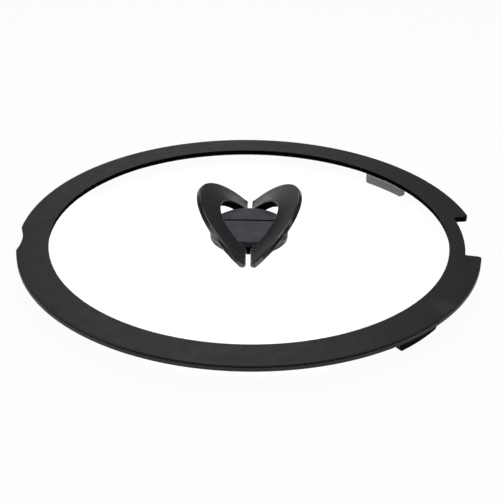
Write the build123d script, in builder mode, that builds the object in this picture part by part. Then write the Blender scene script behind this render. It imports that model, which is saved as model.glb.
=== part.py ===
from build123d import *
import math
import os

# Flat glass pan lid with a moulded rim and a fold-up knob of two half-round wings.
# Millimetres, +Z up. The origin is on the lid's axis, level with the lower ends of the tabs.
# +X points to the handle notch, and the hinges of the wings run along Y.

# Pan that the lid closes
PAN_R = 120.0                # inner radius at the pan's mouth
PAN_CLEARANCE = 0.6          # play between the tabs and the pan's wall

# Rim, tabs and glass
RIM_OVERHANG = 7.0           # how far the rim reaches past the pan's inner wall
RIM_HEIGHT = 3.1             # rim cover, from the glass to its top face
RIM_UNDERCUT = 0.8           # the inner wall leans back this far under its top edge
RIM_ROUNDING = 0.6           # rounding of the rim's top edges
RIM_LINE_DROP = 0.75         # parting line round the outer wall, below the top face
RIM_LINE_W = 0.4
RIM_LINE_DEPTH = 0.45
SEAT_DROP = 11.4             # from the seat on the pan's edge down to the ends of the tabs
SEAT_STEP = 0.3              # the seat stands this far below the face on the glass
SEAT_GAP = 0.3               # between the seat's step and the tabs
SKIRT_WALL = 1.9             # wall of the carrier round the glass
LIP_WIDTH = 0.9              # the carrier's lip reaches this far under the glass
LIP_T = 0.8                  # thickness of that lip
GLASS_T = 4.0
GLASS_FIT = 0.2              # play round the edge of the glass
GLASS_BITE = 6.65            # width of glass that the rim covers
GLASS_BEVEL = 0.5
TAB_PROUD = 1.0              # the tabs stand out from the skirt by this much
TAB_WIDTH = 29.4             # along the rim
TAB_CORNER = 1.6
TAB_ANGLES = (44.2, 180.0, -44.2)

# Cut-outs in the rim's outer edge
NOTCH_WIDTH = 43.4           # handle notch, at its floor
NOTCH_ANGLE = -0.6
NOTCH_CORNER = 2.0
NOTCH_ROOT = 1.0
SCALLOP_ANGLE = 185.3        # small finger scallop, nearly opposite the handle notch
SCALLOP_DEPTH = 2.6
SCALLOP_R = 45.0
SCALLOP_CORNER = 4.0

# Round body of the knob
PUCK_R = 20.5                # cap, and top of the body below it
BASE_SHOULDER = 1.1          # the body is wider than the cap by this much, with a sloped shoulder
BASE_H = 4.3
BASE_FLOOR = 1.2
BASE_WALL = 2.1
BASE_CHAMFER = 0.2
SPINE_WIDTH = 13.0           # solid middle that holds the pins and the insert
BOSS_R = 5.6
BOSS_RISE = 1.6              # the boss stands up into the cap
CAP_H = 3.0                  # at its rounded edge
CAP_CROWN = 0.2              # rise of the cap's top face to its middle
CAP_ROUNDING = 0.9
CAP_SPIGOT_H = 1.4
CAP_SPIGOT_WALL = 1.2
CAP_FIT = 0.1
CAP_GROOVE_Y = 5.2           # straight groove across the cap, behind its middle
CAP_GROOVE_W = 0.7
CAP_GROOVE_DEPTH = 0.5

# Wings and hinges
WING_R = 37.3
WING_HOLE_R = 22.7
WING_EDGE_T = 3.2            # thickness at the outer edge
WING_HOLE_T = 4.7            # thickness at the hole, where the wing is fullest
WING_CROWN = 0.25            # swell of the top face between the hole and the edge
WING_LIFT = 0.6              # under the wing when it lies folded on the glass
WING_ANGLE = 43.5            # raised angle of each wing
WING_GAP = 2.3               # between the raised wings, at the hinges
WING_TOP_ROUNDING = 0.7
WING_LOW_ROUNDING = 0.9
HINGE_SPREAD = 6.0           # between the two hinge lines
HINGE_H = 2.4                # hinge lines above the glass
HINGE_FLAT_Y = 21.0          # flats on the knob's body that the hinges face
BARREL_R = 1.85
BARREL_END = 0.5             # the barrel stops this far inside the wing's outline
BARREL_ROUNDING = 0.9
PIN_R = 1.0
PIN_RUN = 0.05               # running clearance in the knob's body
PIN_FIT = 0.02               # clearance in the wing, where the pin is fixed
PIN_IN_BASE = 9.0
PIN_SHARE = 0.6              # share of the wing's barrel that the pin fills
PIN_END_GAP = 0.3
PIN_CHAMFER = 0.2
WASHER_R = 1.5               # friction washers between wing and body
WASHER_T = 0.8
WASHER_PLAY = 0.1

# Screw, insert and seals through the glass
SCREW_R = 2.0
SCREW_HEAD_R = 4.4
SCREW_HEAD_H = 2.6
SCREW_HEAD_ROUNDING = 1.0
SCREW_SOCKET_R = 1.7
SCREW_SOCKET_DEPTH = 1.5
SCREW_TIP_GAP = 0.4
INSERT_R = 3.4
INSERT_ROOF = 0.5
THREAD_GAP = 0.05
PLATE_R = 8.5                # steel washer under the glass
PLATE_T = 1.0
PLATE_HOLE_GAP = 0.3
SEAL_FLANGE_R = 9.5          # flanged seal through the glass
SEAL_FLANGE_T = 1.2
SEAL_SLEEVE_R = 4.2
SEAL_SCREW_GAP = 0.2
SEAL_TOP_GAP = 0.1
GLASS_HOLE_GAP = 0.2
GASKET_R = 8.6               # flat seal between knob and glass
GASKET_T = 0.8
GASKET_FIT = 0.2
CUT_MARGIN = 5.0             # cutters run past the faces that they cut

# Sizes worked out from those above
tab_outer_r = PAN_R - PAN_CLEARANCE
skirt_r = tab_outer_r - TAB_PROUD
pocket_r = skirt_r - SKIRT_WALL
glass_r = pocket_r - GLASS_FIT
rim_inner_r = glass_r - GLASS_BITE
rim_r = PAN_R + RIM_OVERHANG
seat_inner_r = tab_outer_r + SEAT_GAP
notch_span = math.degrees(NOTCH_WIDTH / skirt_r)
notch_start = NOTCH_ANGLE - notch_span / 2
notch_end = NOTCH_ANGLE + notch_span / 2
tab_span = math.degrees(TAB_WIDTH / tab_outer_r)

seat_z = SEAT_DROP
glass_top = seat_z + SEAT_STEP
glass_bottom = glass_top - GLASS_T
lip_bottom = glass_bottom - LIP_T
rim_top = glass_top + RIM_HEIGHT
rim_line_top = rim_top - RIM_LINE_DROP
base_r = PUCK_R + BASE_SHOULDER
base_top = glass_top + BASE_H
boss_top = base_top + BOSS_RISE
cap_edge = base_top + CAP_H
cap_top = cap_edge + CAP_CROWN

hinge_x = HINGE_SPREAD / 2
hinge_z = glass_top + HINGE_H
barrel_inner = HINGE_FLAT_Y + WASHER_T + 2 * WASHER_PLAY
barrel_outer = math.sqrt(WING_R ** 2 - hinge_x ** 2) - BARREL_END
pin_in_wing = PIN_SHARE * (barrel_outer - barrel_inner)
pin_inner = HINGE_FLAT_Y - PIN_IN_BASE
pin_outer = barrel_inner + pin_in_wing
glass_hole_r = SEAL_SLEEVE_R + GLASS_HOLE_GAP
gasket_top = glass_top + GASKET_T
seal_bottom = glass_bottom - SEAL_FLANGE_T
plate_bottom = seal_bottom - PLATE_T
head_bottom = plate_bottom - SCREW_HEAD_H
insert_top = boss_top - INSERT_ROOF

# A crown is an arc over half its span, so its sagitta is about a quarter of its rise
cap_sagitta = CAP_CROWN / 4

os.makedirs("parts", exist_ok=True)


def polar(radius, angle):
    """Point at a radius and an angle in degrees about the lid's axis."""
    return (radius * math.cos(math.radians(angle)), radius * math.sin(math.radians(angle)))


def save(builder, name):
    """Label one finished piece and write it to its own file."""
    builder.part.label = name
    export_step(builder.part, f"parts/{name}.step")


# Tempered glass disc with a hole for the knob's screw
with BuildPart() as glass_disc:
    with BuildSketch(Plane.XY.offset(glass_bottom)):
        Circle(glass_r)
        Circle(glass_hole_r, mode=Mode.SUBTRACT)
    extrude(amount=GLASS_T)
    chamfer(glass_disc.edges().filter_by(GeomType.CIRCLE).sort_by(SortBy.RADIUS)[-2:], GLASS_BEVEL)
save(glass_disc, "glass_disc")

# Rim cover: broad flat ring with the handle notch and the scallop cut into its outer edge.
# Below, its outer part steps down to the seat that rests on the pan's edge.
with BuildPart() as rim_cover:
    with BuildSketch(Plane.XY.offset(seat_z)) as rim_outline:
        Circle(rim_r)
        with BuildLine():
            CenterArc((0, 0), skirt_r, notch_start, notch_span)
            Polyline(
                polar(skirt_r, notch_end),
                polar(rim_r + CUT_MARGIN, notch_end),
                polar(rim_r + CUT_MARGIN, notch_start),
                polar(skirt_r, notch_start),
            )
        make_face(mode=Mode.SUBTRACT)
        with Locations(polar(rim_r - SCALLOP_DEPTH + SCALLOP_R, SCALLOP_ANGLE)):
            Circle(SCALLOP_R, mode=Mode.SUBTRACT)
        corners = rim_outline.vertices().sort_by(Axis.X)
        fillet(corners[:2], SCALLOP_CORNER)
        corners = rim_outline.vertices().filter_by(lambda v: v.X > 0)
        fillet(corners.sort_by(SortBy.DISTANCE)[-2:], NOTCH_CORNER)
        corners = rim_outline.vertices().filter_by(lambda v: v.X > 0)
        fillet(corners.sort_by(SortBy.DISTANCE)[:2], NOTCH_ROOT)
    extrude(amount=rim_top - seat_z)
    with BuildSketch(Plane.XZ):
        with BuildLine():
            Polyline(
                (0, seat_z),
                (seat_inner_r, seat_z),
                (seat_inner_r, glass_top),
                (rim_inner_r + RIM_UNDERCUT, glass_top),
                (rim_inner_r, rim_top),
                (0, rim_top),
                close=True,
            )
        make_face()
    revolve(axis=Axis.Z, mode=Mode.SUBTRACT)
    fillet(rim_cover.faces().sort_by(Axis.Z)[-1].edges(), RIM_ROUNDING)
    with BuildSketch(Plane.XY.offset(rim_line_top)):
        Circle(rim_r + CUT_MARGIN)
        Circle(rim_r - RIM_LINE_DEPTH, mode=Mode.SUBTRACT)
    extrude(amount=-RIM_LINE_W, mode=Mode.SUBTRACT)
save(rim_cover, "rim_cover")

# Rim carrier: skirt and lip that hold the glass from below, with three tabs that centre the lid
with BuildPart() as rim_carrier:
    with BuildSketch(Plane.XZ):
        with BuildLine():
            Polyline(
                (pocket_r, glass_top),
                (skirt_r, glass_top),
                (skirt_r, lip_bottom),
                (glass_r - LIP_WIDTH, lip_bottom),
                (glass_r - LIP_WIDTH, glass_bottom),
                (pocket_r, glass_bottom),
                close=True,
            )
        make_face()
    revolve(axis=Axis.Z)
    for tab_angle in TAB_ANGLES:
        with BuildSketch(Plane.XZ.rotated((0, 0, tab_angle - tab_span / 2))):
            with BuildLine():
                Polyline(
                    (pocket_r, 0),
                    (tab_outer_r, 0),
                    (tab_outer_r, glass_top),
                    (pocket_r, glass_top),
                    close=True,
                )
            make_face()
        revolve(axis=Axis.Z, revolution_arc=tab_span)
    tab_ends = rim_carrier.edges().filter_by(GeomType.LINE).group_by(Axis.Z)[0]
    fillet(tab_ends, TAB_CORNER)
save(rim_carrier, "rim_carrier")

# Flanged seal that lines the hole in the glass
with BuildPart() as glass_seal:
    with BuildSketch(Plane.XY.offset(seal_bottom)):
        Circle(SEAL_FLANGE_R)
    extrude(amount=SEAL_FLANGE_T)
    with BuildSketch(Plane.XY.offset(glass_bottom)):
        Circle(SEAL_SLEEVE_R)
    extrude(amount=GLASS_T - SEAL_TOP_GAP)
    with BuildSketch(Plane.XY.offset(seal_bottom)):
        Circle(SCREW_R + SEAL_SCREW_GAP)
    extrude(amount=SEAL_FLANGE_T + GLASS_T, mode=Mode.SUBTRACT)
save(glass_seal, "glass_seal")

# Steel washer that spreads the screw's load on the seal
with BuildPart() as screw_plate:
    with BuildSketch(Plane.XY.offset(plate_bottom)):
        Circle(PLATE_R)
        Circle(SCREW_R + PLATE_HOLE_GAP, mode=Mode.SUBTRACT)
    extrude(amount=PLATE_T)
save(screw_plate, "screw_plate")

# Screw from below, with a rounded head and a hexagon socket
with BuildPart() as fixing_screw:
    with BuildSketch(Plane.XY.offset(head_bottom)):
        Circle(SCREW_HEAD_R)
    extrude(amount=SCREW_HEAD_H)
    fillet(fixing_screw.edges().group_by(Axis.Z)[0], SCREW_HEAD_ROUNDING)
    with BuildSketch(Plane.XY.offset(plate_bottom)):
        Circle(SCREW_R)
    extrude(amount=insert_top - SCREW_TIP_GAP - plate_bottom)
    with BuildSketch(Plane.XY.offset(head_bottom)):
        RegularPolygon(SCREW_SOCKET_R, 6)
    extrude(amount=SCREW_SOCKET_DEPTH, mode=Mode.SUBTRACT)
save(fixing_screw, "fixing_screw")

# Brass insert moulded into the knob's body
with BuildPart() as threaded_insert:
    with BuildSketch(Plane.XY.offset(gasket_top)):
        Circle(INSERT_R)
        Circle(SCREW_R + THREAD_GAP, mode=Mode.SUBTRACT)
    extrude(amount=insert_top - gasket_top)
save(threaded_insert, "threaded_insert")

# Flat seal under the knob's body
with BuildPart() as base_gasket:
    with BuildSketch(Plane.XY.offset(glass_top)):
        Circle(GASKET_R)
        Circle(SEAL_SLEEVE_R, mode=Mode.SUBTRACT)
    extrude(amount=GASKET_T)
save(base_gasket, "base_gasket")


def side_pockets(clearance):
    """Sketch of the two D-shaped pockets beside the spine, drawn in by a clearance."""
    Circle(base_r - BASE_WALL - clearance)
    Rectangle(SPINE_WIDTH + 2 * clearance, 2 * base_r, mode=Mode.SUBTRACT)


# Body of the knob: round shell with a solid spine, a central boss and four hinge bores
with BuildPart() as knob_base:
    with BuildSketch(Plane.XY.offset(glass_top)):
        Circle(base_r)
    extrude(amount=BASE_H)
    chamfer(knob_base.faces().sort_by(Axis.Z)[-1].edges(), BASE_SHOULDER)
    with BuildSketch(Plane.XY.offset(glass_top)):
        Rectangle(2 * base_r, 2 * HINGE_FLAT_Y)
    extrude(amount=BASE_H, mode=Mode.INTERSECT)
    chamfer(knob_base.faces().sort_by(Axis.Z)[0].edges(), BASE_CHAMFER)
    with BuildSketch(Plane.XY.offset(glass_top + BASE_FLOOR)):
        side_pockets(0)
    extrude(amount=BASE_H, mode=Mode.SUBTRACT)
    with BuildSketch(Plane.XY.offset(base_top)):
        Circle(BOSS_R)
    extrude(amount=BOSS_RISE)
    with BuildSketch(Plane.XY.offset(glass_top)):
        Circle(GASKET_R + GASKET_FIT)
    extrude(amount=GASKET_T, mode=Mode.SUBTRACT)
    with BuildSketch(Plane.XY.offset(gasket_top)):
        Circle(INSERT_R)
    extrude(amount=insert_top - gasket_top, mode=Mode.SUBTRACT)
    for end in (-1, 1):
        with BuildSketch(Plane.XZ.offset(-end * (pin_inner - PIN_END_GAP))):
            with Locations((-hinge_x, hinge_z), (hinge_x, hinge_z)):
                Circle(PIN_R + PIN_RUN)
        extrude(amount=-end * base_r, mode=Mode.SUBTRACT)
save(knob_base, "knob_base")

# Cap of the knob: low crown with a rounded edge, a straight groove and two spigots
with BuildPart() as knob_cap:
    with BuildSketch(Plane.XZ) as cap_section:
        with BuildLine():
            Polyline((0, cap_top), (0, base_top), (PUCK_R, base_top), (PUCK_R, cap_edge))
            SagittaArc((PUCK_R, cap_edge), (0, cap_top), cap_sagitta)
        make_face()
        cap_corner = cap_section.vertices().group_by(Axis.X)[-1].sort_by(Axis.Y)[-1]
        fillet(cap_corner, CAP_ROUNDING)
    revolve(axis=Axis.Z)
    with BuildSketch(Plane.XY.offset(base_top)):
        Circle(BOSS_R + CAP_FIT)
    extrude(amount=BOSS_RISE + CAP_FIT, mode=Mode.SUBTRACT)
    with BuildSketch(Plane.XY.offset(base_top)):
        side_pockets(CAP_FIT)
        offset(amount=-CAP_SPIGOT_WALL, mode=Mode.SUBTRACT)
    extrude(amount=-CAP_SPIGOT_H)
    with BuildSketch(Plane.XY.offset(cap_top - CAP_GROOVE_DEPTH)):
        with Locations((0, CAP_GROOVE_Y)):
            Rectangle(2 * PUCK_R, CAP_GROOVE_W)
    extrude(amount=CAP_GROOVE_DEPTH, mode=Mode.SUBTRACT)
save(knob_cap, "knob_cap")

# Wing: half ring in its own tilted plane, fullest at the hole, with a hinge barrel at each end
hinge_point = (hinge_x, 0, hinge_z)
hinge_line = Axis(hinge_point, (0, 1, 0))
wing_level = Plane(Location(hinge_point, (0, -WING_ANGLE, 0)))
wing_centre = wing_level.from_local_coords((-hinge_x, 0, 0))
wing_section = Plane(wing_centre, x_dir=-wing_level.y_dir, z_dir=-wing_level.x_dir)
wing_under = WING_LIFT - HINGE_H

with BuildPart() as right_wing:
    with BuildSketch(wing_section) as ring_section:
        hole_top = (WING_HOLE_R, wing_under + WING_HOLE_T)
        edge_top = (WING_R, wing_under + WING_EDGE_T)
        with BuildLine():
            Polyline(hole_top, (WING_HOLE_R, wing_under), (WING_R, wing_under), edge_top)
            SagittaArc(edge_top, hole_top, WING_CROWN)
        make_face()
        fillet(ring_section.vertices().sort_by(Axis.Y)[-2:], WING_TOP_ROUNDING)
        low_edge = ring_section.vertices().group_by(Axis.Y)[0].sort_by(Axis.X)[-1]
        fillet(low_edge, WING_LOW_ROUNDING)
    revolve(axis=Axis(wing_centre, wing_level.z_dir), revolution_arc=180)
    with BuildSketch(wing_level):
        Rectangle(hinge_x + CUT_MARGIN, 2 * WING_R + CUT_MARGIN, align=(Align.MAX, Align.CENTER))
    extrude(amount=WING_R, both=True, mode=Mode.SUBTRACT)
    for end in (-1, 1):
        barrel_plane = Plane(hinge_point, x_dir=(0, end, 0), z_dir=(end, 0, 0))
        with BuildSketch(barrel_plane) as barrel_section:
            with Locations((barrel_inner, 0)):
                Rectangle(barrel_outer - barrel_inner, BARREL_R, align=Align.MIN)
            barrel_corner = barrel_section.vertices().group_by(Axis.X)[-1].sort_by(Axis.Y)[-1]
            fillet(barrel_corner, BARREL_ROUNDING)
        revolve(axis=hinge_line)
    with BuildSketch(Plane.XY.offset(glass_top)):
        with Locations((WING_GAP / 2, 0)):
            Rectangle(WING_GAP + CUT_MARGIN, 2 * WING_R + CUT_MARGIN, align=(Align.MAX, Align.CENTER))
    extrude(amount=WING_R, mode=Mode.SUBTRACT)
    for end in (-1, 1):
        with BuildSketch(Plane.XZ.offset(-end * barrel_inner)):
            with Locations((hinge_x, hinge_z)):
                Circle(PIN_R + PIN_FIT)
        extrude(amount=-end * (pin_in_wing + PIN_END_GAP), mode=Mode.SUBTRACT)
save(right_wing, "right_wing")

with BuildPart() as left_wing:
    mirror(right_wing.part, about=Plane.YZ)
save(left_wing, "left_wing")

# Each hinge has a steel pin, fixed in the wing, and a friction washer beside the knob's body
for side_name, side in (("left", -1), ("right", 1)):
    for end_name, end in (("front", -1), ("rear", 1)):
        with BuildPart() as hinge_pin:
            with BuildSketch(Plane.XZ.offset(-end * pin_inner)):
                with Locations((side * hinge_x, hinge_z)):
                    Circle(PIN_R)
            extrude(amount=-end * (pin_outer - pin_inner))
            chamfer(hinge_pin.edges().filter_by(GeomType.CIRCLE), PIN_CHAMFER)
        save(hinge_pin, f"{side_name}_{end_name}_pin")

        with BuildPart() as friction_washer:
            with BuildSketch(Plane.XZ.offset(-end * (HINGE_FLAT_Y + WASHER_PLAY))):
                with Locations((side * hinge_x, hinge_z)):
                    Circle(WASHER_R)
                    Circle(PIN_R + PIN_RUN, mode=Mode.SUBTRACT)
            extrude(amount=-end * WASHER_T)
        save(friction_washer, f"{side_name}_{end_name}_washer")
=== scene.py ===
import math

import bpy
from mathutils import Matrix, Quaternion, Vector


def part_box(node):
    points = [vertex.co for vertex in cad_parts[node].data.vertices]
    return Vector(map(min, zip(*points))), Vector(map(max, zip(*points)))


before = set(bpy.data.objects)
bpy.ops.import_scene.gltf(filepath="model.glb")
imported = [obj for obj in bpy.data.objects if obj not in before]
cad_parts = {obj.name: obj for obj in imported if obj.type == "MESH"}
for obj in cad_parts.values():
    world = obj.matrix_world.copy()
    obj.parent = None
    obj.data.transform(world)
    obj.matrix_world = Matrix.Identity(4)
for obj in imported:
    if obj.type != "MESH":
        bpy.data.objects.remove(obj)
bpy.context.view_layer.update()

bl_info = {
    "name": "Glass Pan Lid",
    "version": (1, 0, 0),
    "blender": (4, 5, 0),
    "location": "View3D > Sidebar > Pan Lid",
    "description": "Finishes a glass pan lid with a fold-up knob, and sets its studio",
    "category": "Object",
}

RIM_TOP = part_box("rim_cover")[1].z

# Range that a noise texture's values mostly keep to
NOISE_LOW = 0.3
NOISE_HIGH = 0.7

# A wave texture's phase per metre at a scale of 1
WAVE_RATE = 20.0

# Sockets of a Mix node that carry its two colours and its result
MIX_COLOURS = (6, 7)
MIX_RESULT = 2

# Clouding of the plastic: its darkest and its lightest tone, as shares of the colour
CLOUD_DARK = 0.86
CLOUD_LIGHT = 1.14

# Paler sharp edges, partly rubbed wear and partly a painted highlight: where their sharpness begins
# to show and shows in full, and how much paler they are
EDGE_START = 0.52
EDGE_FULL = 0.62
EDGE_WEAR_AND_HIGHLIGHT_LIFT = 10.0

# Patches of uneven gloss: their size as a share of the clouding's, and how far the gloss strays
PATCH_SHARE = 0.3
GLOSS_SPREAD = 0.05

# A wall begins to face an axis, and faces it in full, where its normal turns inward this far
FACING_START = -0.6
FACING_FULL = -0.9

# Walls in painted shade keep this share of their plastic's colour and shine
PAINTED_SHADE_SHARE = 0.12

# Axes that the rim's walls in painted shade face: the lid's own, and one in the handle notch
UPRIGHT = (0, 0, 1)
NOTCH_MIDDLE = (0.123, 0, 0)

# Grooves in painted shade: the axis across each one, its middle on that axis and half its width.
# The rim's runs round its outer wall, the cap's straight across its top, and the body's is
# the gap between the wings, where the wings' shadow is painted.
RIM_GROOVE = ("Z", RIM_TOP - 0.00095, 0.00026)
CAP_GROOVE = ("Y", 0.0048, 0.0008)
WING_GAP = ("X", 0.0, 0.0028)

# The floor lies this far below the tabs, so that their faces never coincide
FLOOR_GAP = 0.0001

# Glass: its refraction index, and the sizes of its rolling waves and of its uneven tint
GLASS_INDEX = 1.27
GLASS_WAVES = 0.045
GLASS_MELT = 0.06

# Rubber and metal: sizes of dusty patches, of the rubber's grain and of stains
DUST_SIZE = 0.004
RUBBER_GRAIN = 0.0004
STAIN_SIZE = 0.003

# Ends of the two hinges, each with its pin and its washer
HINGE_ENDS = [f"{side}_{end}" for side in ("left", "right") for end in ("front", "rear")]

# Pieces that stand on the glass, and that it would mirror
ON_THE_GLASS = (
    "rim_cover", "knob_base", "knob_cap", "left_wing", "right_wing", "threaded_insert",
    "base_gasket", *(f"{end}_pin" for end in HINGE_ENDS), *(f"{end}_washer" for end in HINGE_ENDS),
)

# Half of the V: each wing's tilt when it stands as in the photo
WING_ANGLE = math.radians(43.5)

# Soft lamps: name, setting of the power, width, height and place
LAMPS = (
    ("back_lamp", "back_power", 0.5, 0.5, (-0.09, 1.0, 0.76)),
    ("top_lamp", "top_power", 1.0, 0.9, (0.0, -0.15, 0.8)),
    ("side_lamp", "side_power", 0.5, 0.2, (-0.8, -0.30, 0.16)),
    ("right_lamp", "right_power", 0.5, 0.2, (0.8, -0.20, 0.16)),
    ("corner_lamp", "corner_power", 0.8, 0.3, (-0.55, 1.0, 0.10)),
    ("front_lamp", "front_power", 0.4, 0.3, (-0.1, -0.8, 0.9)),
)


class LidFinishes(bpy.types.PropertyGroup):
    """Colours and surface sizes of the lid's materials."""

    rim_colour: bpy.props.FloatVectorProperty(
        name="Rim", description="Black moulded plastic of the rim cover",
        subtype="COLOR", size=3, min=0.0, max=1.0, default=(0.0080, 0.0080, 0.0082),
    )
    # The carrier's own black, made darker than the rim's as painted shade for the shadow under the
    # rim
    carrier_black_and_shade: bpy.props.FloatVectorProperty(
        name="Carrier", description="Black plastic of the skirt and the tabs under the rim",
        subtype="COLOR", size=3, min=0.0, max=1.0, default=(0.0035, 0.0035, 0.0037),
    )
    knob_colour: bpy.props.FloatVectorProperty(
        name="Knob", description="Satin black plastic of the knob's body and wings",
        subtype="COLOR", size=3, min=0.0, max=1.0, default=(0.0080, 0.0076, 0.0110),
    )
    cap_colour: bpy.props.FloatVectorProperty(
        name="Cap", description="Slightly blue black of the knob's cap",
        subtype="COLOR", size=3, min=0.0, max=1.0, default=(0.0135, 0.0115, 0.0265),
    )
    glass_tint: bpy.props.FloatVectorProperty(
        name="Glass", description="Tint of the clear tempered glass",
        subtype="COLOR", size=3, min=0.0, max=1.0, default=(0.985, 0.995, 0.992),
    )
    seal_colour: bpy.props.FloatVectorProperty(
        name="Seals", description="Grey silicone of the seals at the screw",
        subtype="COLOR", size=3, min=0.0, max=1.0, default=(0.075, 0.075, 0.080),
    )
    washer_colour: bpy.props.FloatVectorProperty(
        name="Washers", description="Black rubber of the friction washers",
        subtype="COLOR", size=3, min=0.0, max=1.0, default=(0.015, 0.015, 0.015),
    )
    steel_colour: bpy.props.FloatVectorProperty(
        name="Steel", description="Bare steel of the pins, the screw and its plate",
        subtype="COLOR", size=3, min=0.0, max=1.0, default=(0.56, 0.56, 0.58),
    )
    brass_colour: bpy.props.FloatVectorProperty(
        name="Brass", description="Turned brass of the threaded insert",
        subtype="COLOR", size=3, min=0.0, max=1.0, default=(0.70, 0.50, 0.20),
    )
    rim_grain: bpy.props.FloatProperty(
        name="Rim grain", description="Size of the moulded grain on the rim",
        unit="LENGTH", min=0.0001, max=0.01, default=0.0007,
    )
    knob_grain: bpy.props.FloatProperty(
        name="Knob grain", description="Size of the moulded grain on the knob",
        unit="LENGTH", min=0.0001, max=0.01, default=0.0004,
    )
    cloud_size: bpy.props.FloatProperty(
        name="Clouding", description="Size of the faint lighter and darker patches in the plastic",
        unit="LENGTH", min=0.001, max=0.2, default=0.018,
    )
    turning_pitch: bpy.props.FloatProperty(
        name="Turning marks", description="Spacing of the tool marks on turned metal",
        unit="LENGTH", min=0.0003, max=0.03, default=math.tau * 0.00025,
    )


class LidStudio(bpy.types.PropertyGroup):
    """Camera, floor and light around the lid."""

    lens: bpy.props.FloatProperty(
        name="Lens", description="Focal length", unit="CAMERA", min=10.0, max=300.0, default=75.51,
    )
    distance: bpy.props.FloatProperty(
        name="Distance", description="From the camera to the middle of the rim's top",
        unit="LENGTH", min=0.1, max=5.0, default=0.5847,
    )
    elevation: bpy.props.FloatProperty(
        name="Elevation", description="Camera's angle above the rim's top face",
        subtype="ANGLE", min=0.0, max=math.pi / 2, default=math.radians(28.44),
    )
    azimuth: bpy.props.FloatProperty(
        name="Azimuth", description="Camera's turn towards the handle notch",
        subtype="ANGLE", min=-math.pi, max=math.pi, default=math.radians(0.7),
    )
    roll: bpy.props.FloatProperty(
        name="Roll", description="Camera's turn about its own axis",
        subtype="ANGLE", min=-math.pi, max=math.pi, default=math.radians(0.54),
    )
    frame_shift: bpy.props.FloatVectorProperty(
        name="Frame shift", description="Offset of the lid in the picture, as a share of its width",
        size=2, min=-0.2, max=0.2, default=(0.0038, -0.0398),
    )
    floor_size: bpy.props.FloatProperty(
        name="Floor", description="Side of the square floor",
        unit="LENGTH", min=0.5, max=50.0, default=12.0,
    )
    floor_colour: bpy.props.FloatVectorProperty(
        name="Floor colour", description="Pale matte floor",
        subtype="COLOR", size=3, min=0.0, max=1.0, default=(0.88, 0.88, 0.88),
    )
    shadow_share: bpy.props.FloatProperty(
        name="Shadow", description="How much of the floor's own shading shows under its white",
        subtype="FACTOR", min=0.0, max=1.0, default=0.05,
    )
    room_light: bpy.props.FloatProperty(
        name="Room light", description="Even light from all sides",
        min=0.0, max=5.0, default=0.08,
    )
    dim_room: bpy.props.FloatProperty(
        name="Dim room",
        description="How much of the white room shows in the plastic's blurred shine",
        subtype="FACTOR", min=0.0, max=1.0, default=0.05,
    )
    dim_floor: bpy.props.FloatProperty(
        name="Dim floor",
        description="How much of the white floor shows in the plastic's blurred shine",
        subtype="FACTOR", min=0.0, max=1.0, default=0.15,
    )
    back_power: bpy.props.FloatProperty(
        name="Back lamp", description="Soft lamp behind the lid, which gives the black its sheen",
        unit="POWER", min=0.0, max=500.0, default=1.5,
    )
    top_power: bpy.props.FloatProperty(
        name="Top lamp", description="Broad soft lamp above the lid",
        unit="POWER", min=0.0, max=500.0, default=6.0,
    )
    side_power: bpy.props.FloatProperty(
        name="Side lamp", description="Low soft lamp on the left",
        unit="POWER", min=0.0, max=500.0, default=1.2,
    )
    right_power: bpy.props.FloatProperty(
        name="Right lamp", description="Low soft lamp on the right",
        unit="POWER", min=0.0, max=500.0, default=0.3,
    )
    corner_power: bpy.props.FloatProperty(
        name="Corner lamp",
        description="Very weak low lamp at the back left, for the right wing's sheen",
        unit="POWER", min=0.0, max=500.0, default=0.12,
    )
    front_power: bpy.props.FloatProperty(
        name="Front lamp", description="Weak lamp above the camera",
        unit="POWER", min=0.0, max=500.0, default=0.5,
    )


def finishes():
    """The lid's material settings in this scene."""
    return bpy.context.scene.lid_finishes


def studio():
    """The studio's settings in this scene."""
    return bpy.context.scene.lid_studio


def add_node(tree, kind, inputs=None, **settings):
    """Add one shader node, with its settings and with values or links on its inputs."""
    made = tree.nodes.new(kind)
    for key, value in settings.items():
        setattr(made, key, value)
    for key, value in (inputs or {}).items():
        if isinstance(value, bpy.types.NodeSocket):
            tree.links.new(value, made.inputs[key])
        else:
            made.inputs[key].default_value = value
    return made


def new_material(name):
    """A material with an empty node tree and its output node."""
    material = bpy.data.materials.new(name)
    material.use_nodes = True
    material.node_tree.nodes.clear()
    output = material.node_tree.nodes.new("ShaderNodeOutputMaterial")
    return material, material.node_tree, output


def finish_surface(tree, output, principled):
    """Join a shader to the material's output."""
    tree.links.new(principled.outputs["BSDF"], output.inputs["Surface"])


def noise(tree, place, size, detail=3.0, roughness=0.5):
    """Noise texture of a given feature size in metres."""
    return add_node(
        tree, "ShaderNodeTexNoise",
        {"Vector": place, "Scale": 1.0 / size, "Detail": detail, "Roughness": roughness},
    ).outputs["Fac"]


def remap(tree, value, low, high, start=NOISE_LOW, end=NOISE_HIGH):
    """Spread a value between two new limits, and hold it there."""
    return add_node(
        tree, "ShaderNodeMapRange",
        {"Value": value, "From Min": start, "From Max": end, "To Min": low, "To Max": high},
    ).outputs["Result"]


def blend_colours(tree, share, first, second):
    """Mix two colours by a share from 0 to 1."""
    mixed = add_node(tree, "ShaderNodeMix", data_type="RGBA")
    tree.links.new(share, mixed.inputs["Factor"])
    for index, colour in zip(MIX_COLOURS, (first, second)):
        if isinstance(colour, bpy.types.NodeSocket):
            tree.links.new(colour, mixed.inputs[index])
        else:
            mixed.inputs[index].default_value = (*colour, 1.0)
    return mixed.outputs[MIX_RESULT]


def scaled(colour, share):
    """A colour made darker or lighter by a share."""
    return tuple(min(1.0, part * share) for part in colour)


def maths(tree, operation, first, second):
    """One sum, with links or plain values on its two inputs."""
    return add_node(
        tree, "ShaderNodeMath", {0: first, 1: second}, operation=operation
    ).outputs["Value"]


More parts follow.
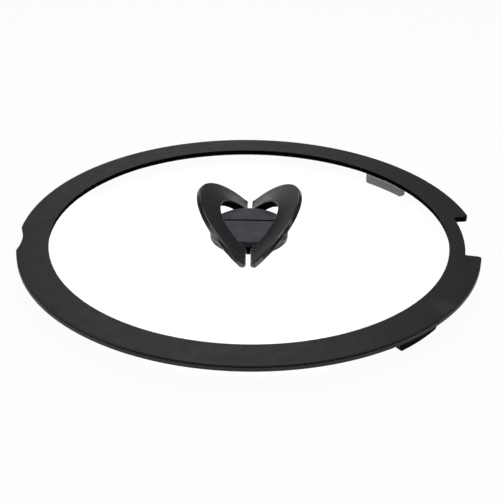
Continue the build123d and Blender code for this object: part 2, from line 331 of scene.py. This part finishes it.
def vector_maths(tree, operation, first, second=None):
    """One vector sum, with links or plain values on its two inputs."""
    inputs = {0: first} if second is None else {0: first, 1: second}
    return add_node(tree, "ShaderNodeVectorMath", inputs, operation=operation).outputs


def facing_axis(tree, point, direction):
    """1 on walls that face an axis through a point, and 0 on all other faces."""
    coordinates = add_node(tree, "ShaderNodeTexCoord").outputs
    arm = vector_maths(tree, "SUBTRACT", coordinates["Object"], point)["Vector"]
    along = vector_maths(tree, "PROJECT", arm, direction)["Vector"]
    outward = vector_maths(tree, "SUBTRACT", arm, along)["Vector"]
    outward = vector_maths(tree, "NORMALIZE", outward)["Vector"]
    turned = vector_maths(tree, "DOT_PRODUCT", coordinates["Normal"], outward)["Value"]
    return remap(tree, turned, 0.0, 1.0, start=FACING_START, end=FACING_FULL)


def in_groove(tree, axis, middle, half_width):
    """1 in a groove across one axis, and 0 elsewhere."""
    place = add_node(tree, "ShaderNodeTexCoord").outputs["Object"]
    across = add_node(tree, "ShaderNodeSeparateXYZ", {"Vector": place}).outputs[axis]
    return add_node(
        tree, "ShaderNodeMath", {0: across, 1: middle, 2: half_width}, operation="COMPARE"
    ).outputs["Value"]


def moulded_plastic(
    name, colour, grain, roughness, grain_depth, edge_wear_and_highlight, specular, shaded_axes=(), grooves=()
):
    """Black moulded plastic: fine grain, faint clouding, uneven gloss and paler edges, partly
    rubbed wear and partly a painted highlight.

    Walls that face a shaded axis, a point and a direction, get painted shade: a darker colour
    and less shine. So do the grooves.
    """
    material, tree, output = new_material(name)
    place = add_node(tree, "ShaderNodeTexCoord").outputs["Object"]

    clouds = noise(tree, place, finishes().cloud_size, detail=4.0)
    tone = blend_colours(
        tree, remap(tree, clouds, 0.0, 1.0),
        scaled(colour, CLOUD_DARK), scaled(colour, CLOUD_LIGHT),
    )
    edges = add_node(tree, "ShaderNodeNewGeometry").outputs["Pointiness"]
    # Sharp edges made paler: partly wear, partly a painted highlight
    rubbed_and_highlit = remap(tree, edges, 0.0, edge_wear_and_highlight, start=EDGE_START, end=EDGE_FULL)
    tone = blend_colours(tree, rubbed_and_highlit, tone, scaled((max(colour),) * 3, EDGE_WEAR_AND_HIGHLIGHT_LIFT))
    patches = noise(tree, place, finishes().cloud_size * PATCH_SHARE, detail=2.0)
    gloss = remap(tree, patches, roughness - GLOSS_SPREAD, roughness + GLOSS_SPREAD)
    shine = specular

    # Painted shade: walls facing these axes, and the grooves, get a darker colour and less shine
    masks = [facing_axis(tree, *axis) for axis in shaded_axes]
    masks += [in_groove(tree, *groove) for groove in grooves]
    if masks:
        painted_shade = masks[0]
        for mask in masks[1:]:
            painted_shade = maths(tree, "MAXIMUM", painted_shade, mask)
        tone = blend_colours(tree, painted_shade, tone, scaled(colour, PAINTED_SHADE_SHARE))
        shine = remap(tree, painted_shade, specular, specular * PAINTED_SHADE_SHARE, start=0.0, end=1.0)
        gloss = maths(tree, "MAXIMUM", gloss, painted_shade)

    pits = noise(tree, place, grain, detail=5.0, roughness=0.6)
    bump = add_node(
        tree, "ShaderNodeBump",
        {"Height": pits, "Strength": 0.35, "Distance": grain_depth},
    )
    principled = add_node(
        tree, "ShaderNodeBsdfPrincipled",
        {
            "Base Color": tone, "Roughness": gloss, "Normal": bump.outputs["Normal"],
            "Specular IOR Level": shine,
        },
    )
    finish_surface(tree, output, principled)
    return material


def tempered_glass(name, tint):
    """Clear polished glass with faint rolling waves and a very slightly uneven tint."""
    material, tree, output = new_material(name)
    place = add_node(tree, "ShaderNodeTexCoord").outputs["Object"]
    waves = noise(tree, place, GLASS_WAVES, detail=1.0)
    bump = add_node(
        tree, "ShaderNodeBump", {"Height": waves, "Strength": 0.05, "Distance": 0.0001},
    )
    melt = noise(tree, place, GLASS_MELT, detail=2.0)
    principled = add_node(
        tree, "ShaderNodeBsdfPrincipled",
        {
            "Base Color": blend_colours(tree, remap(tree, melt, 0.0, 1.0), tint, (1, 1, 1)),
            "Roughness": 0.0, "Normal": bump.outputs["Normal"], "Transmission Weight": 1.0,
            "IOR": GLASS_INDEX,
        },
    )
    finish_surface(tree, output, principled)
    return material


def soft_rubber(name, colour):
    """Matte silicone or rubber with a fine soft grain and dusty patches."""
    material, tree, output = new_material(name)
    place = add_node(tree, "ShaderNodeTexCoord").outputs["Object"]
    dust = noise(tree, place, DUST_SIZE, detail=4.0)
    tone = blend_colours(
        tree, remap(tree, dust, 0.0, 1.0), scaled(colour, 0.85), scaled(colour, 1.25)
    )
    grain = noise(tree, place, RUBBER_GRAIN, detail=3.0)
    bump = add_node(
        tree, "ShaderNodeBump", {"Height": grain, "Strength": 0.3, "Distance": 0.00003},
    )
    principled = add_node(
        tree, "ShaderNodeBsdfPrincipled",
        {
            "Base Color": tone, "Roughness": remap(tree, dust, 0.62, 0.78),
            "Normal": bump.outputs["Normal"], "Specular IOR Level": 0.35,
        },
    )
    finish_surface(tree, output, principled)
    return material


def turned_metal(name, colour, along):
    """Bare turned metal: tool marks along one axis, stains and uneven polish."""
    material, tree, output = new_material(name)
    place = add_node(tree, "ShaderNodeTexCoord").outputs["Object"]
    marks = add_node(
        tree, "ShaderNodeTexWave",
        {
            "Vector": place, "Scale": math.tau / (WAVE_RATE * finishes().turning_pitch),
            "Distortion": 1.5, "Detail": 2.0,
        },
        wave_type="RINGS" if along == "Z" else "BANDS",
        **({"rings_direction": "Z"} if along == "Z" else {"bands_direction": along}),
    ).outputs["Fac"]
    stains = noise(tree, place, STAIN_SIZE, detail=4.0)
    tone = blend_colours(
        tree, remap(tree, stains, 0.0, 1.0), scaled(colour, 0.82), scaled(colour, 1.08)
    )
    bump = add_node(
        tree, "ShaderNodeBump", {"Height": marks, "Strength": 0.2, "Distance": 0.00002},
    )
    principled = add_node(
        tree, "ShaderNodeBsdfPrincipled",
        {
            "Base Color": tone, "Roughness": remap(tree, stains, 0.24, 0.42),
            "Normal": bump.outputs["Normal"], "Metallic": 1.0,
        },
    )
    finish_surface(tree, output, principled)
    return material


def dress(material, *node_names):
    """Give one material to the CAD nodes of those names."""
    for node_name in node_names:
        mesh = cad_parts[node_name].data
        mesh.materials.clear()
        mesh.materials.append(material)


class LID_OT_glass(bpy.types.Operator):
    """Finish the tempered glass disc"""

    bl_idname = "pan_lid.glass"
    bl_label = "Glass"

    def execute(self, context):
        dress(tempered_glass("tempered_glass", finishes().glass_tint), "glass_disc")
        # Lamps shine through clear glass, so the disc itself casts no shadow
        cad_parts["glass_disc"].visible_shadow = False
        # The photo's glass mirrors the white room only, in its upper face and in its lower one
        for node_name in ON_THE_GLASS:
            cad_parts[node_name].visible_glossy = False
            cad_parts[node_name].visible_transmission = False
        return {"FINISHED"}


class LID_OT_rim(bpy.types.Operator):
    """Finish the rim cover and the carrier with its tabs"""

    bl_idname = "pan_lid.rim"
    bl_label = "Rim"

    def execute(self, context):
        cover = moulded_plastic(
            "rim_matte_black", finishes().rim_colour, finishes().rim_grain,
            roughness=0.50, grain_depth=0.00006, edge_wear_and_highlight=0.35, specular=0.35,
            # Painted shade on the rim's inner wall and on the notch's wall
            shaded_axes=(((0, 0, 0), UPRIGHT), (NOTCH_MIDDLE, UPRIGHT)), grooves=(RIM_GROOVE,),
        )
        carrier = moulded_plastic(
            "carrier_matte_black", finishes().carrier_black_and_shade, finishes().rim_grain,
            # Its colour holds painted shade for the shadow under the rim
            roughness=0.58, grain_depth=0.00005, edge_wear_and_highlight=0.2, specular=0.06,
        )
        dress(cover, "rim_cover")
        dress(carrier, "rim_carrier")
        return {"FINISHED"}


class LID_OT_knob_body(bpy.types.Operator):
    """Finish the knob's round body and its cap"""

    bl_idname = "pan_lid.knob_body"
    bl_label = "Knob body"

    def execute(self, context):
        body = moulded_plastic(
            "knob_satin_black", finishes().knob_colour, finishes().knob_grain,
            # Painted shadow of the wings on the body's strip between them
            roughness=0.36, grain_depth=0.00003, edge_wear_and_highlight=0.4, specular=0.40, grooves=(WING_GAP,),
        )
        cap = moulded_plastic(
            "cap_blue_black", finishes().cap_colour, finishes().knob_grain,
            # Painted shade in the cap's groove, wider than the cut
            roughness=0.35, grain_depth=0.00003, edge_wear_and_highlight=0.0, specular=0.20, grooves=(CAP_GROOVE,),
        )
        dress(body, "knob_base")
        dress(cap, "knob_cap")
        return {"FINISHED"}


def hole_axis(side, sign):
    """Axis of the round hole in one wing: a point on it and its direction."""
    low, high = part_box(f"{side}_front_pin")
    hinge = (low + high) / 2
    reach = abs(hinge.x)
    point = (
        hinge.x - sign * reach * math.cos(WING_ANGLE), 0.0, hinge.z - reach * math.sin(WING_ANGLE)
    )
    return point, (-sign * math.sin(WING_ANGLE), 0.0, math.cos(WING_ANGLE))


class LID_OT_wings(bpy.types.Operator):
    """Finish the two half-round wings"""

    bl_idname = "pan_lid.wings"
    bl_label = "Wings"

    def execute(self, context):
        for side, sign in (("left", -1), ("right", 1)):
            wing = moulded_plastic(
                f"{side}_wing_satin_black", finishes().knob_colour, finishes().knob_grain,
                # The wings' edges are made much paler, mostly as a painted highlight
                roughness=0.20, grain_depth=0.00002, edge_wear_and_highlight=1.0, specular=0.75,
                # Painted shade on the wall of the wing's round hole
                shaded_axes=(hole_axis(side, sign),),
            )
            dress(wing, f"{side}_wing")
        return {"FINISHED"}


class LID_OT_hinges(bpy.types.Operator):
    """Finish the hinge pins and the friction washers"""

    bl_idname = "pan_lid.hinges"
    bl_label = "Hinges"

    def execute(self, context):
        pin = turned_metal("pin_steel", finishes().steel_colour, along="Y")
        washer = soft_rubber("washer_rubber", finishes().washer_colour)
        for end in HINGE_ENDS:
            dress(pin, f"{end}_pin")
            dress(washer, f"{end}_washer")
        return {"FINISHED"}


class LID_OT_fixing(bpy.types.Operator):
    """Finish the screw, its plate, the insert and the seals through the glass"""

    bl_idname = "pan_lid.fixing"
    bl_label = "Fixing"

    def execute(self, context):
        dress(turned_metal("screw_steel", finishes().steel_colour, along="Z"),
              "fixing_screw", "screw_plate")
        dress(turned_metal("insert_brass", finishes().brass_colour, along="Z"),
              "threaded_insert")
        dress(soft_rubber("seal_silicone", finishes().seal_colour),
              "glass_seal", "base_gasket")
        return {"FINISHED"}


def white_share(tree, blurred_share, mirrors, *white_rays):
    """1 for rays that see plain white, less for a blurred reflection, and 0 for lit faces.

    White rays may have been mirrored that many times on their way from the camera.
    """
    path = add_node(tree, "ShaderNodeLightPath").outputs
    direct = maths(tree, "LESS_THAN", path["Glossy Depth"], mirrors + 0.5)
    seen = maths(tree, "MULTIPLY", path["Is Glossy Ray"], blurred_share)
    for ray in white_rays:
        seen = maths(tree, "MAXIMUM", seen, maths(tree, "MULTIPLY", path[ray], direct))
    return seen


def pale_floor(settings):
    """Square floor under the tabs: white to the eye, with the lid's own soft shadow in it."""
    half = settings.floor_size / 2
    corners = ((-half, -half), (half, -half), (half, half), (-half, half))
    mesh = bpy.data.meshes.new("studio_floor")
    mesh.from_pydata([(x, y, -FLOOR_GAP) for x, y in corners], [], [(0, 1, 2, 3)])
    floor = bpy.data.objects.new("studio_floor", mesh)
    bpy.context.scene.collection.objects.link(floor)

    material, tree, output = new_material("floor_white")
    place = add_node(tree, "ShaderNodeTexCoord").outputs["Object"]
    mottle = remap(tree, noise(tree, place, 0.3), 0.0, 1.0)
    paint = add_node(tree, "ShaderNodeBsdfDiffuse")
    tree.links.new(
        blend_colours(tree, mottle, settings.floor_colour, scaled(settings.floor_colour, 0.98)),
        paint.inputs["Color"],
    )
    white = add_node(tree, "ShaderNodeEmission", {"Strength": 1.0})
    seen = white_share(tree, settings.dim_floor, 0, "Is Camera Ray", "Is Transmission Ray")
    share = maths(tree, "MULTIPLY", seen, 1.0 - settings.shadow_share)
    mixed = add_node(
        tree, "ShaderNodeMixShader",
        {0: share, 1: paint.outputs["BSDF"], 2: white.outputs["Emission"]},
    )
    tree.links.new(mixed.outputs["Shader"], output.inputs["Surface"])
    mesh.materials.append(material)


def white_room(settings):
    """World that is white to the eye and gives a plain even light."""
    world = bpy.data.worlds.new("studio_room")
    world.use_nodes = True
    tree = world.node_tree
    tree.nodes.clear()
    output = tree.nodes.new("ShaderNodeOutputWorld")
    seen = white_share(
        tree, settings.dim_room, 1, "Is Camera Ray", "Is Transmission Ray", "Is Singular Ray"
    )
    strength = remap(tree, seen, settings.room_light, 1.0, start=0.0, end=1.0)
    room = add_node(tree, "ShaderNodeBackground", {"Color": (1, 1, 1, 1), "Strength": strength})
    tree.links.new(room.outputs["Background"], output.inputs["Surface"])
    bpy.context.scene.world = world


def soft_lamp(name, power, width, height, place):
    """Rectangular area lamp that faces the lid's middle."""
    lamp = bpy.data.lights.new(name, "AREA")
    lamp.shape = "RECTANGLE"
    lamp.size = width
    lamp.size_y = height
    lamp.energy = power
    holder = bpy.data.objects.new(name, lamp)
    holder.location = place
    holder.rotation_euler = (-Vector(place)).to_track_quat("-Z", "Y").to_euler()
    holder.visible_camera = False
    bpy.context.scene.collection.objects.link(holder)


def photo_camera(settings):
    """Camera at the photograph's angle, with the lid where the photograph has it."""
    data = bpy.data.cameras.new("photo_camera")
    data.lens = settings.lens
    data.sensor_width = 36.0
    data.shift_x, data.shift_y = settings.frame_shift
    data.clip_start = 0.01
    data.clip_end = 100.0
    camera = bpy.data.objects.new("photo_camera", data)
    level = math.cos(settings.elevation)
    back = Vector((
        math.sin(settings.azimuth) * level,
        -math.cos(settings.azimuth) * level,
        math.sin(settings.elevation),
    ))
    camera.location = Vector((0, 0, RIM_TOP)) + back * settings.distance
    camera.rotation_mode = "QUATERNION"
    facing = (-back).to_track_quat("-Z", "Y")
    camera.rotation_quaternion = facing @ Quaternion((0, 0, 1), settings.roll)
    bpy.context.scene.collection.objects.link(camera)
    bpy.context.scene.camera = camera


class LID_OT_stage(bpy.types.Operator):
    """Set the pale floor, the soft lamps and the camera"""

    bl_idname = "pan_lid.stage"
    bl_label = "Stage"

    def execute(self, context):
        settings = studio()
        pale_floor(settings)
        white_room(settings)
        for name, power_setting, width, height, place in LAMPS:
            soft_lamp(name, getattr(settings, power_setting), width, height, place)
        photo_camera(settings)
        context.scene.view_settings.view_transform = "Standard"
        return {"FINISHED"}


PIECE_OPERATORS = (
    LID_OT_glass, LID_OT_rim, LID_OT_knob_body, LID_OT_wings, LID_OT_hinges, LID_OT_fixing,
    LID_OT_stage,
)


class LID_PT_tools(bpy.types.Panel):
    """Panel that lists the lid's pieces and settings"""

    bl_idname = "LID_PT_tools"
    bl_label = "Pan Lid"
    bl_space_type = "VIEW_3D"
    bl_region_type = "UI"
    bl_category = "Pan Lid"

    def draw(self, context):
        for operator in PIECE_OPERATORS:
            self.layout.operator(operator.bl_idname)
        for group in (context.scene.lid_finishes, context.scene.lid_studio):
            box = self.layout.box()
            for name in type(group).__annotations__:
                box.prop(group, name)


CLASSES = (LidFinishes, LidStudio, *PIECE_OPERATORS, LID_PT_tools)


def register():
    for entry in CLASSES:
        bpy.utils.register_class(entry)
    bpy.types.Scene.lid_finishes = bpy.props.PointerProperty(type=LidFinishes)
    bpy.types.Scene.lid_studio = bpy.props.PointerProperty(type=LidStudio)


def unregister():
    del bpy.types.Scene.lid_studio
    del bpy.types.Scene.lid_finishes
    for entry in reversed(CLASSES):
        bpy.utils.unregister_class(entry)


def main():
    register()
    bpy.ops.pan_lid.glass()
    bpy.ops.pan_lid.rim()
    bpy.ops.pan_lid.knob_body()
    bpy.ops.pan_lid.wings()
    bpy.ops.pan_lid.hinges()
    bpy.ops.pan_lid.fixing()
    bpy.ops.pan_lid.stage()


if __name__ == "__main__":
    main()
